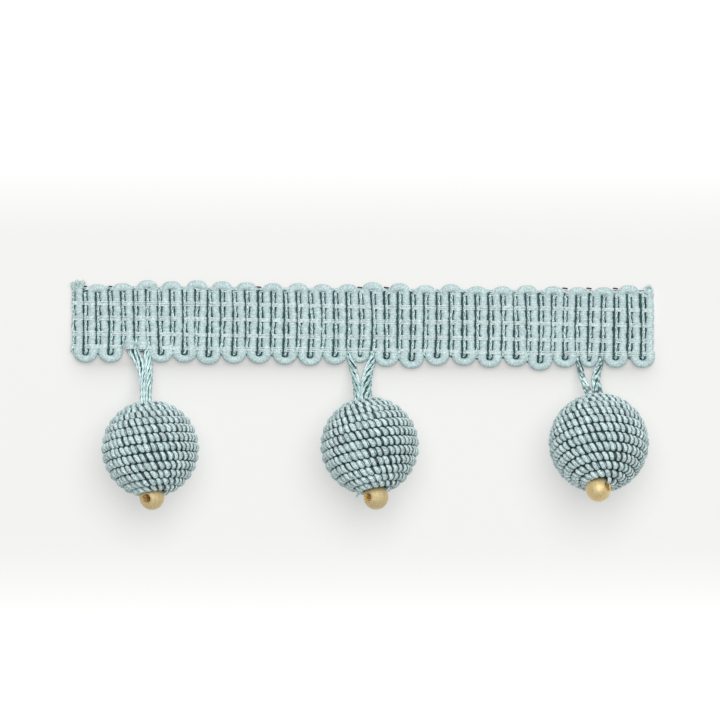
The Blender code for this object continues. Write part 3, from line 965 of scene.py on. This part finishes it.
def pinch(x, y):
    """How far the binding rows draw the cord in, as a share of its girth."""
    drawn = sum(math.exp(-((y - row_y(row, x)) / PINCH_WIDTH) ** 2) for row in range(len(ROW_Y)))
    return 1.0 - PINCH * drawn


def loop_ends(legs, i):
    """The ends of a leg and of the next one that a loop joins."""
    if i % 2 == 0:
        return legs[i].bottom, legs[i + 1].bottom
    return legs[i].top, legs[i + 1].top


def gimp_path(radius):
    """The gimp's serpentine: down a leg, round its lower loop and up the next."""
    path = []
    legs = heading_legs()
    last = len(legs) - 1
    size, rise, step = GIRTH_WAVE
    for i, leg in enumerate(legs):
        going_down = i % 2 == 0
        for k in range(LEG_STEPS + 1):
            share = k / LEG_STEPS if going_down else 1 - k / LEG_STEPS
            y = leg.top[1] + (leg.bottom[1] - leg.top[1]) * share
            x = leg.x_at(y)
            girth = pinch(x, y) * (1.0 + leg.swell * leg.footing(y) + size * math.sin(rise * y + step * i))
            if i in (0, last):
                below = leg.top[1] - CUT_DROP - y
                girth *= max(1.0 - max(CUT_ROUNDING - below, 0.0) ** 2, CUT_LEAST)
            path.append(((x, y, radius * girth), girth))
        if i == last:
            break
        start, end = loop_ends(legs, i)
        middle = ((start[0] + end[0]) / 2, (start[1] + end[1]) / 2)
        reach = (end[0] - start[0]) / 2
        depth, square, thinner = LOW_CURVE if going_down else HIGH_CURVE
        if i == 2 * SQUARE_LOOP:
            depth, square, thinner = NECK_CURVE
        for k in range(1, LOOP_STEPS):
            across, along = math.cos(math.pi * k / LOOP_STEPS), math.sin(math.pi * k / LOOP_STEPS)
            girth = 1.0 + (leg.swell if going_down else 0.0) - thinner * along ** 1.5
            path.append(((middle[0] - reach * math.copysign(abs(across) ** square, across),
                          middle[1] + depth * along ** square,
                          radius * girth + 0.06 * along), girth))
    return path


def waver(*numbers):
    """A fixed number from -1 to 1 that looks random."""
    return math.sin(sum((k + 2.3) * 12.9898 * number for k, number in enumerate(numbers, 1)))


def yarn_path(offset):
    """The companion yarn: left of each leg, and under the cord at each loop."""
    knots = []
    legs = heading_legs()
    last = len(legs) - 1
    for i, leg in enumerate(legs):
        going_down = i % 2 == 0
        low, high = leg.bottom[1] + YARN_LOW, leg.top[1] - YARN_HIGH
        if i == 0:
            high = leg.top[1] + YARN_START_RISE
        if i == last:
            high = YARN_STOP
        heights = [high + (low - high) * k / 8 for k in range(9)]
        if not going_down:
            heights.reverse()
        for y in heights:
            gap = leg.x_at(y) - legs[i - 1].x_at(y) - USUAL_GAP if i else 0.0
            knots.append((leg.x_at(y) - offset - 0.5 * max(gap, 0.0), y, YARN_HEIGHT))
        if i == last:
            break
        side, beyond = (-1, -0.45) if going_down else (1, 0.5)
        start, end = loop_ends(legs, i)
        middle_x, y = (start[0] + end[0]) / 2, start[1]
        knots += [(middle_x + across, y + side * along + beyond, height)
                  for across, along, height in YARN_LOOP]
    return smooth_path(knots)


def binding_paths(row, crest):
    """Threads side by side that take turns over and under each leg with its yarn."""
    paths = []
    for first_over in (0, 1):
        for lane in (-1, 0, 1):
            knots = []
            for i, leg in enumerate(heading_legs()):
                x = leg.x_at(row_y(row, leg.top[0]))
                y = row_y(row, x) + lane * THREAD_PITCH + THREAD_WAVER * waver(row, lane, i)
                lift = 1.5 * leg.swell * leg.footing(y)
                if i == 0:
                    if first_over == 0:
                        knots += [(x + across, y, crest - drop) for across, drop in FIRST_LEG]
                elif (i + first_over) % 2 == 0:
                    knots += [(x + across, y, crest - drop + (lift if abs(across) < 0.9 else 0.0))
                              for across, drop in OVER_LEG]
                else:
                    knots += [(x + across, y, height) for across, height in UNDER_LEG]
            path = smooth_path(knots)
            for point in path:
                point.z = max(point.z, THREAD_FLOOR)
            paths.append(evenly(path))
    return paths


def catch_paths():
    """The short lengths of dark thread that show between the upper loops."""
    paths = []
    for notch in CATCH_NOTCHES:
        x = LOOPS[notch][0]
        y = CATCH_Y + CATCH_DROP * x
        paths.append(thread([(x + across, y + along, height) for across, along, height in CATCH_DASH], 0.1))
    return paths


def upright(x, heights, girth=1.0):
    """A straight dark filler strand up the heading, which stands in for shade."""
    return evenly([(x, y, FILLER_HEIGHT) for y in heights], girth)


def filler_paths():
    """Dark strands that stand in for shade beside the yarn, in the loops' eyes, under
    the notches and by the droppers.
    """
    paths = [evenly([(point.x, min(point.y, FILLER_TOP), 0.45) for point in yarn_path(offset)[::3]
                     if point.x > FILLER_LEFT]) for offset in FILLER_OFFSETS]
    first = heading_legs()[0]
    paths.append(evenly([(first.x_at(y) - 0.85, y, 0.4) for y in (20.6, 17.6, 14.6, 11.6, 8.6)], 0.7))
    paths.append(upright(-48.25, (11.6, 10.6, 9.6), 0.7))
    for low_x, low_y, *_, high_x, high_y in LOOPS:
        for across in EYE_STRANDS:
            paths.append(upright(low_x + across, (low_y + 1.2, low_y + 2.4, low_y + 3.6)))
            paths.append(upright(low_x + across, (20.9, 19.7, 18.6)))
            if high_x is not None:
                paths.append(upright(high_x + across, (high_y - 1.6, 19.6, 18.4)))
    return paths + [thread(knots, girth=0.3) for knots in SHADE_STRANDS]


def fibre(foot, reach, bend, girth=1.0):
    """A fibre from its foot to a tip, bent away from the straight line."""
    tip = foot + Vector(reach)
    return thread([foot, (foot + tip) / 2 + Vector(bend), tip], girth=girth)


def tuft_paths():
    """The frayed fibres at the cut left end, and those beside the middle bead."""
    paths = []
    for k in range(19):
        lean = -1.25 + 2.0 * k / 18 + 0.12 * waver(k)
        long = 1.5 + 0.35 * waver(k, 2)
        foot = Vector(TUFT_AT) + Vector((0.05 * k, 0.0, 0.0))
        paths.append(fibre(foot, (long * math.sin(lean), long * math.cos(lean), -0.5 + 0.3 * waver(k, 3)),
                           (0.15 * waver(k, 4), 0.15 * waver(k, 5), 0.2)))
    for k in range(7):
        foot = Vector(FUZZ_AT) + Vector((0.12 * k, 0.0, 0.0))
        paths.append(fibre(foot, (-0.5 + 0.5 * waver(k, 6), -1.1 + 0.4 * waver(k, 7), -0.6),
                           (0.2 * waver(k, 8), 0.0, 0.3), 0.8))
    return paths


def curl_paths():
    """The cut right end of the gimp, curled up on its own leg."""
    x, y, z = CURL_AT
    angles = [math.radians(-100 + 12 * k) for k in range(31)]
    return [evenly([(x + CURL_RADIUS * math.cos(angle), y + CURL_RADIUS * math.sin(angle), z + 0.012 * k)
                    for k, angle in enumerate(angles)])]


def edge_path():
    """The straight cord on which the upper loops sit, seen in the notches."""
    left, right = LOOPS[0][0] - 0.6, LOOPS[-1][0] + 0.6
    places = (left, left / 2, 0.0, right / 2, right)
    return thread([(x, EDGE_Y + EDGE_DROP * x, EDGE_HEIGHT) for x in places], 1.0)


def ball_frame(ball):
    """The ball's middle, and the turn that takes its own +Z to its upper pole."""
    x, y, radius, tilt, lean = ball
    middle = Vector((x, y, radius - BALL_SINK))
    lay_down = Matrix.Rotation(math.radians(-90.0 - tilt), 3, "X")
    return middle, Matrix.Rotation(math.radians(lean), 3, "Z") @ lay_down


def spiral_path(ball, sunk, last_gap=POLE_GAP):
    """The middle line of the winding cord, pole to pole, at a depth in the ball."""
    middle, turn = ball_frame(ball)
    rows = round(math.pi * ball[2] / ROW_PITCH)
    radius = ball[2] - sunk
    path = []
    for step in range(round(POLE_GAP * TURN_STEPS), round((rows - 1 - last_gap) * TURN_STEPS) + 1):
        polar = (step / TURN_STEPS + 0.5) * math.pi / rows
        around = 2 * math.pi * step / TURN_STEPS
        ring = radius * math.sin(polar)
        point = Vector((ring * math.sin(around), ring * math.cos(around), radius * math.cos(polar)))
        point = middle + turn @ point
        point.z = max(point.z, sunk + 0.05)
        path.append(point)
    return evenly(path)


def bead_middle(index):
    x, y, rise, _ = BEADS[index]
    return Vector((x, y, BALLS[index][2] - BALL_SINK + rise))


def dropper_paths(index):
    """The two legs of a dropper, down to the hairpin in the ball's socket."""
    left_root, left_mid, right_root, right_mid, spread, shift = DROPPERS[index]
    ball = BALLS[index]
    middle, turn = ball_frame(ball)

    def inside(across, depth):
        return middle + turn @ Vector((across, 0.0, ball[2] - depth))

    sides = []
    for root, mid, sign in ((left_root, left_mid, -1), (right_root, right_mid, 1)):
        entry = sign * spread - shift
        sides.append(smooth_path([
            (root[0], root[1] + ROOT_LENGTH, ROOT_HEIGHT), root, mid, inside(entry, 0.0),
            inside(entry, HAIRPIN_DEPTH), inside(-shift, HAIRPIN_DEPTH + spread)]))
    return sides


def laid_strands(path, turns, count, girths, reaches, inward=1.0):
    """Strands that run down a path as a slack, flattened rope."""
    strands = []
    last = len(path) - 1
    for strand in range(count):
        points = []
        for i, point in enumerate(path):
            share = min(max((path[0].y - ROOT_LENGTH - point.y) / VISIBLE_LENGTH, 0.0), 1.0)
            girth = girths[0] + (girths[1] - girths[0]) * share
            reach = (reaches[0] + (reaches[1] - reaches[0]) * share) * inward
            way = path[min(i + 1, last)] - path[max(i - 1, 0)]
            side = way.cross(Vector((0.0, 0.0, 1.0))).normalized()
            up = side.cross(way).normalized()
            angle = 2 * math.pi * (turns * share + strand / count)
            place = point + side * math.cos(angle) * reach + up * math.sin(angle) * min(reach, FLAT_REACH)
            place.z = max(place.z, LEAST_HEIGHT * girth)
            points.append((place, girth))
        strands.append(points)
    return strands


# Operators

class TrimOperator:
    """Shared settings of the operators."""

    bl_options = {"REGISTER", "UNDO"}


class TRIM_OT_gimp_cord(TrimOperator, bpy.types.Operator):
    """Lay the gimp cord back and forth to make the heading"""

    bl_idname = "trim.gimp_cord"
    bl_label = "Gimp Cord"

    def execute(self, context):
        sizes, colours = context.scene.trim_heading, context.scene.trim_colours
        material = heading_material("gimp_wraps", colours.gimp, colours.shade)
        cord = grow("heading_gimp", [gimp_path(sizes.cord_radius / MM)], wrapped_cord_tree(), material,
                    Radius=sizes.cord_radius, Wrap_Pitch=sizes.wrap_pitch)
        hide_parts("gimp_cord")
        return {"FINISHED"}


class TRIM_OT_companion_yarn(TrimOperator, bpy.types.Operator):
    """Lay the thin shiny yarn beside each leg of the gimp cord"""

    bl_idname = "trim.companion_yarn"
    bl_label = "Companion Yarn"

    def execute(self, context):
        sizes, colours = context.scene.trim_heading, context.scene.trim_colours
        tree = twisted_yarn_tree()
        material = heading_material("companion_yarn", colours.yarn, colours.shade)
        yarn = grow("heading_yarn", [evenly(yarn_path(YARN_OFFSET))], tree, material,
                    Strands=3, Strand_Lay=sizes.yarn_radius, Strand_Turn=3.8 * MM,
                    Filament_Radius=sizes.yarn_radius)
        # The dark filler strands are painted shade in the grooves, eyes and notches
        dark = heading_material("shade_filler", colours.shade, colours.shade)
        filler = grow("heading_shade_filler", filler_paths(), tree, dark, Filament_Radius=0.44 * MM, Step=0.5 * MM)
        pale = heading_material("edge_cord", colours.gimp, colours.shade)
        edge = grow("heading_edge", [edge_path()], tree, pale,
                    Strands=2, Strand_Lay=0.17 * MM, Strand_Turn=2.0 * MM, Filament_Radius=0.19 * MM)
        brown = heading_material("catch_thread", CATCH_BROWN, colours.shade)
        catch = grow("catch_thread", catch_paths(), tree, brown, Filament_Radius=0.15 * MM, Step=0.1 * MM)
        fray = heading_material("frayed_yarn", colours.yarn, colours.shade)
        tuft = grow("frayed_ends", tuft_paths(), tree, fray,
                    Filament_Radius=0.12 * MM, Step=0.15 * MM, Sides=5)
        curl = grow("curled_end", curl_paths(), tree, pale,
                    Strands=2, Strand_Lay=0.12 * MM, Strand_Turn=1.6 * MM, Filament_Radius=0.16 * MM,
                    Step=0.1 * MM)
        return {"FINISHED"}


class TRIM_OT_binding_rows(TrimOperator, bpy.types.Operator):
    """Bind the legs together with rows of fine thread"""

    bl_idname = "trim.binding_rows"
    bl_label = "Binding Rows"

    def execute(self, context):
        sizes, colours = context.scene.trim_heading, context.scene.trim_colours
        material = heading_material("binding_thread", colours.thread, colours.shade)
        tree = twisted_yarn_tree()
        crest = 2 * sizes.cord_radius / MM - ROW_SINK
        for row in range(len(ROW_Y)):
            height = crest if row else crest - FIRST_ROW_SINK
            bound = grow(f"binding_row_{row + 1}", binding_paths(row, height), tree, material,
                         Filament_Radius=sizes.thread_radius, Step=0.28 * MM, Sides=5)
            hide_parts(f"warp_{row + 1}")
        return {"FINISHED"}


class TRIM_OT_droppers(TrimOperator, bpy.types.Operator):
    """Twist the yarns that each ball hangs on"""

    bl_idname = "trim.droppers"
    bl_label = "Droppers"

    def execute(self, context):
        sizes, colours = context.scene.trim_droppers, context.scene.trim_colours
        # Dark cores between the strands are painted shade
        dark = heading_material("dropper_shade_core", colours.shade, colours.shade)
        tree = twisted_yarn_tree()
        for index in range(BALL_COUNT):
            painted_lustre = strand_material(f"dropper_yarn_{index + 1}", colours.painted_lustre, *DROPPER_PAINTED_GLINTS[index])
            cores = []
            for side, make, path in zip(("left", "right"), DROPPER_LEGS[index], dropper_paths(index)):
                dropper = grow(f"dropper_{side}_{index + 1}", laid_strands(path, *make), tree, painted_lustre,
                               Filaments=sizes.filaments, Filament_Lay=sizes.filament_lay,
                               Filament_Radius=sizes.filament_radius,
                               Filament_Turn=math.copysign(sizes.turn, -make[0]), Step=0.14 * MM, Sides=6)
                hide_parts(f"dropper_cord_{index + 1}")
                cores += laid_strands(path, *make, CORE_REACH)
            core = grow(f"dropper_core_{index + 1}", cores, tree, dark,
                        Filament_Radius=0.22 * MM, Step=0.2 * MM)
        return {"FINISHED"}


class TRIM_OT_balls(TrimOperator, bpy.types.Operator):
    """Wind the three balls with wrapped cord"""

    bl_idname = "trim.balls"
    bl_label = "Wound Balls"

    def execute(self, context):
        sizes, colours = context.scene.trim_balls, context.scene.trim_colours
        trees = cord_wraps_tree(), twisted_yarn_tree()
        for index, ball in enumerate(BALLS):
            self.wind(sizes, colours, index, ball, *trees)
            self.fill(index, ball, colours.shade)
        return {"FINISHED"}

    def wind(self, sizes, colours, index, ball, wraps_tree, yarn_tree):
        """The matte wraps, the fine ones between them, and the core under them, all with
        painted shade that deepens under the ball's surface; the core's dark colour is
        painted shade.
        """
        number = index + 1
        middle, _ = ball_frame(ball)
        matte = winding_material("wraps", number, ball, colours.winding, colours.ball_painted_shade)
        shiny = winding_material("thin", number, ball, colours.thin_winding, colours.ball_painted_shade)
        dark = winding_material("core", number, ball, colours.ball_painted_shade, colours.ball_painted_shade)
        last_gap, clearance = LOWER_POLES[index]
        shared = {"Middle": tuple(middle * MM), "Bead": tuple(bead_middle(index) * MM),
                  "Bead_Clearance": clearance * MM, "Lean": sizes.wrap_lean, "Seed": 10 * number}
        wraps = grow(f"ball_wraps_{number}", [spiral_path(ball, MATTE_DEPTH, last_gap)], wraps_tree, matte,
                     Pitch=sizes.wrap_pitch, Width=sizes.wrap_width, **shared)
        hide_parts(f"ball_{number}")
        pitch = sizes.wrap_pitch * (ball[2] - THIN_DEPTH) / (ball[2] - MATTE_DEPTH)
        thin = grow(f"ball_thin_wraps_{number}", [spiral_path(ball, THIN_DEPTH, last_gap)], wraps_tree, shiny,
                    Pitch=pitch, Width=0.3 * MM, Thickness=0.4 * MM, Girth=0.7 * MM, Shift=-0.46 * pitch,
                    Share=0.6, Steps=7, Sides=6, **shared)
        core = grow(f"ball_core_{number}", [spiral_path(ball, CORE_DEPTH)], yarn_tree, dark,
                    Filament_Radius=0.62 * MM, Step=0.7 * MM)

    def fill(self, index, ball, shade):
        """The dark mould that closes the view between the wraps; its dark colour is
        painted shade.
        """
        bm = bmesh.new()
        bmesh.ops.create_uvsphere(bm, u_segments=48, v_segments=24, radius=ball[2] - MOULD_DEPTH)
        bmesh.ops.translate(bm, vec=ball_frame(ball)[0], verts=bm.verts)
        mould = mesh_piece(f"ball_mould_{index + 1}", bm, mould_material(f"mould_{index + 1}", shade))


class TRIM_OT_beads(TrimOperator, bpy.types.Operator):
    """Turn the brass beads with their holes"""

    bl_idname = "trim.beads"
    bl_label = "Brass Beads"

    def execute(self, context):
        sizes, colours = context.scene.trim_balls, context.scene.trim_colours
        profile = self.profile(sizes.bead_radius / MM, sizes.bead_hole / MM)
        for index, (tone, roughness) in enumerate(BEAD_PAINTED_LIGHT_AND_ROUGHNESS):
            middle, toward = bead_middle(index), Vector(BEADS[index][3]).normalized()
            # Each bead's tone is painted light
            colour = [part * share for part, share in zip(colours.brass, tone)]
            material = brass_material(
                f"brushed_brass_{index + 1}", colour, middle, toward, sizes.bead_hole, roughness)
            bm = bmesh.new()
            self.revolve(bm, profile, middle, toward)
            bead = mesh_piece(f"brass_bead_{index + 1}", bm, material, sharp_deg=50.0)
            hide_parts(f"bead_{index + 1}")
        return {"FINISHED"}

    def profile(self, radius, hole, rim=0.14):
        """Half section of the bead: its round side, the rounded rim, the hole."""
        start = math.asin((hole + rim) / radius)
        side = [(radius * math.sin(a), radius * math.cos(a))
                for a in (start + (math.pi - 2 * start) * i / 24 for i in range(25))]
        edge = radius * math.cos(start)
        rounding = [(hole + rim * (1 - math.sin(a)), edge - rim * (1 - math.cos(a)))
                    for a in (math.radians(90 * i / 4) for i in range(1, 5))]
        foot = [(x, -z) for x, z in reversed(rounding)]
        return side[::-1] + rounding + [(hole, z * edge / 4) for z in (2, 0, -2)] + foot

    def revolve(self, bm, profile, middle, axis, segments=56):
        turn = axis.to_track_quat("Z", "Y").to_matrix()
        rings = []
        for i in range(segments):
            angle = 2 * math.pi * i / segments
            rings.append([bm.verts.new(middle + turn @ Vector((r * math.cos(angle), r * math.sin(angle), z)))
                          for r, z in profile])
        count = len(profile)
        for here, ahead in zip(rings, rings[1:] + rings[:1]):
            for k in range(count):
                bm.faces.new((here[k], ahead[k], ahead[(k + 1) % count], here[(k + 1) % count]))


class TRIM_OT_stage(TrimOperator, bpy.types.Operator):
    """Set the table, the soft light and the camera"""

    bl_idname = "trim.stage"
    bl_label = "Stage"

    def execute(self, context):
        scene = context.scene
        bm = bmesh.new()
        bmesh.ops.create_grid(bm, x_segments=1, y_segments=1, size=TABLE_SIZE)
        table = add_object("table", plain_mesh("table", bm, table_material(scene.trim_colours.table)))

        world = bpy.data.worlds.new("studio")
        scene.world = world
        world.use_nodes = True
        sky = world.node_tree.nodes["Background"].inputs
        sky["Color"].default_value = (1.0, 1.0, 1.0, 1.0)
        sky["Strength"].default_value = SKY_STRENGTH

        lamp = bpy.data.lights.new("softbox", "AREA")
        lamp.shape = "DISK"
        lamp.size = SOFTBOX_SIZE
        lamp.energy = SOFTBOX_POWER
        light = add_object("softbox", lamp)
        light.location = SOFTBOX_AT
        light.rotation_euler = (-Vector(SOFTBOX_AT)).to_track_quat("-Z", "Y").to_euler()

        lens = bpy.data.cameras.new("camera")
        lens.sensor_width = SENSOR
        lens.lens = SENSOR * CAMERA_AT[2] / VIEW_WIDTH
        lens.clip_start = 0.1
        lens.clip_end = 20.0
        scene.camera = add_object("camera", lens)
        scene.camera.location = Vector(CAMERA_AT) * MM
        scene.view_settings.view_transform = "Standard"
        return {"FINISHED"}


OPERATORS = (
    TRIM_OT_gimp_cord,
    TRIM_OT_companion_yarn,
    TRIM_OT_binding_rows,
    TRIM_OT_droppers,
    TRIM_OT_balls,
    TRIM_OT_beads,
    TRIM_OT_stage,
)


class TRIM_PT_fringe(bpy.types.Panel):
    """Sizes, colours and the pieces of the trim"""

    bl_idname = "TRIM_PT_fringe"
    bl_label = "Beaded Ball Fringe"
    bl_space_type = "VIEW_3D"
    bl_region_type = "UI"
    bl_category = "Trim"

    def draw(self, context):
        for owner, group in SETTINGS.items():
            settings = getattr(context.scene, owner)
            box = self.layout.box()
            for label in group.__annotations__:
                box.prop(settings, label)
        for operator in OPERATORS:
            self.layout.operator(operator.bl_idname)


def register():
    for owner, group in SETTINGS.items():
        bpy.utils.register_class(group)
        setattr(bpy.types.Scene, owner, PointerProperty(type=group))
    for operator in OPERATORS:
        bpy.utils.register_class(operator)
    bpy.utils.register_class(TRIM_PT_fringe)


def unregister():
    bpy.utils.unregister_class(TRIM_PT_fringe)
    for operator in reversed(OPERATORS):
        bpy.utils.unregister_class(operator)
    for owner, group in reversed(SETTINGS.items()):
        delattr(bpy.types.Scene, owner)
        bpy.utils.unregister_class(group)


def declare_heading():
    """The heading is a flat woven band, cut to the length that shows. This only lists
    the pieces sewn into it.
    """
    sewn = ["heading_yarn", "heading_shade_filler", "heading_edge", "catch_thread", "frayed_ends", "curled_end"]
    sewn += [f"binding_row_{row + 1}" for row in range(len(ROW_Y))]


def main():
    register()
    bpy.ops.trim.gimp_cord()
    bpy.ops.trim.companion_yarn()
    bpy.ops.trim.binding_rows()
    bpy.ops.trim.droppers()
    bpy.ops.trim.balls()
    bpy.ops.trim.beads()
    bpy.ops.trim.stage()
    declare_heading()


if __name__ == "__main__":
    main()
